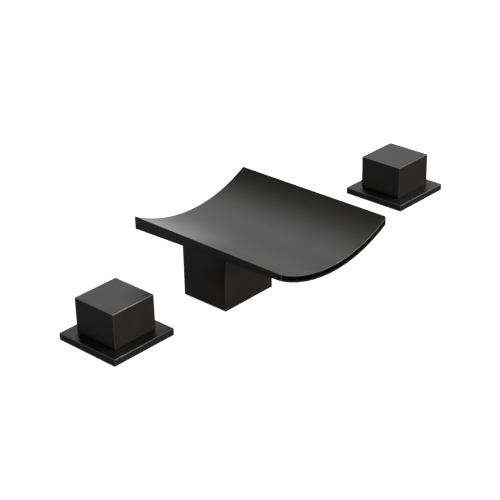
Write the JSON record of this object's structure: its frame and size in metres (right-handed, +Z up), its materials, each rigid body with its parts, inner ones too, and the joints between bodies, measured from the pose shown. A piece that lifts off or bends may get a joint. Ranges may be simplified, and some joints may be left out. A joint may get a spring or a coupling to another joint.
{
  "type": "waterfall bath faucet",
  "caption": "Waterfall bath faucet: a curved hollow spout plate on a square pillar between two square turning knobs, with valves, tee and bridge tubes below the deck.",
  "frame": {"origin": "on the spout's fixing axis, where it meets the deck's top face", "axes": "+Z up from the deck, -Y the way the spout pours, +X from the hot knob to the cold knob"},
  "size_m": [0.3865, 0.1472, 0.15],
  "materials": {
    "black_coat": "satin black coating on brass",
    "brass": "turned and cast, unplated",
    "copper": "drawn copper tube",
    "steel": "stainless, pressed and turned",
    "rubber": "moulded black rubber",
    "fibre": "red fibre sealing washer",
    "ceramic": "lapped alumina"
  },
  "bodies": {
    "fixed_set": {"cold_bridge_nuts": "brass", "cold_bridge_olives": "brass", "cold_bridge_tube": "copper", "cold_cartridge_housing": "brass", "cold_cartridge_o_ring": "rubber", "cold_clamp_rubber": "rubber", "cold_clamp_washer": "steel", "cold_escutcheon": "black_coat", "cold_escutcheon_gasket": "rubber", "cold_fixed_disc": "ceramic", "cold_lock_nut": "brass", "cold_seat_seal": "rubber", "cold_valve_body": "brass", "hot_bridge_nuts": "brass", "hot_bridge_olives": "brass", "hot_bridge_tube": "copper", "hot_cartridge_housing": "brass", "hot_cartridge_o_ring": "rubber", "hot_clamp_rubber": "rubber", "hot_clamp_washer": "steel", "hot_escutcheon": "black_coat", "hot_escutcheon_gasket": "rubber", "hot_fixed_disc": "ceramic", "hot_lock_nut": "brass", "hot_seat_seal": "rubber", "hot_valve_body": "brass", "spout_baffle": "steel", "spout_base_gasket": "rubber", "spout_clamp_rubber": "rubber", "spout_clamp_washer": "steel", "spout_lock_nut": "brass", "spout_o_ring": "rubber", "spout_pillar": "black_coat", "spout_shank": "brass", "spout_top_plate": "black_coat", "spout_tray": "black_coat", "tee": "brass", "tee_seal": "fibre"},
    "hot_handle": {"hot_knob": "black_coat", "hot_knob_set_screw": "steel", "hot_spindle": "brass", "hot_spindle_o_rings": "rubber", "hot_spindle_clip": "steel", "hot_turning_disc": "ceramic"},
    "cold_handle": {"cold_knob": "black_coat", "cold_knob_set_screw": "steel", "cold_spindle": "brass", "cold_spindle_o_rings": "rubber", "cold_spindle_clip": "steel", "cold_turning_disc": "ceramic"}
  },
  "joints": [
    {"name": "hot_knob_turn", "type": "hinge", "parent": "fixed_set", "child": "hot_handle", "pos_m": [-0.104, 0.013, 0.02], "axis": [0, 0, 1], "range_deg": [0, 90]},
    {"name": "cold_knob_turn", "type": "hinge", "parent": "fixed_set", "child": "cold_handle", "pos_m": [0.224, 0.013, 0.02], "axis": [0, 0, -1], "range_deg": [0, 90]}
  ]
}
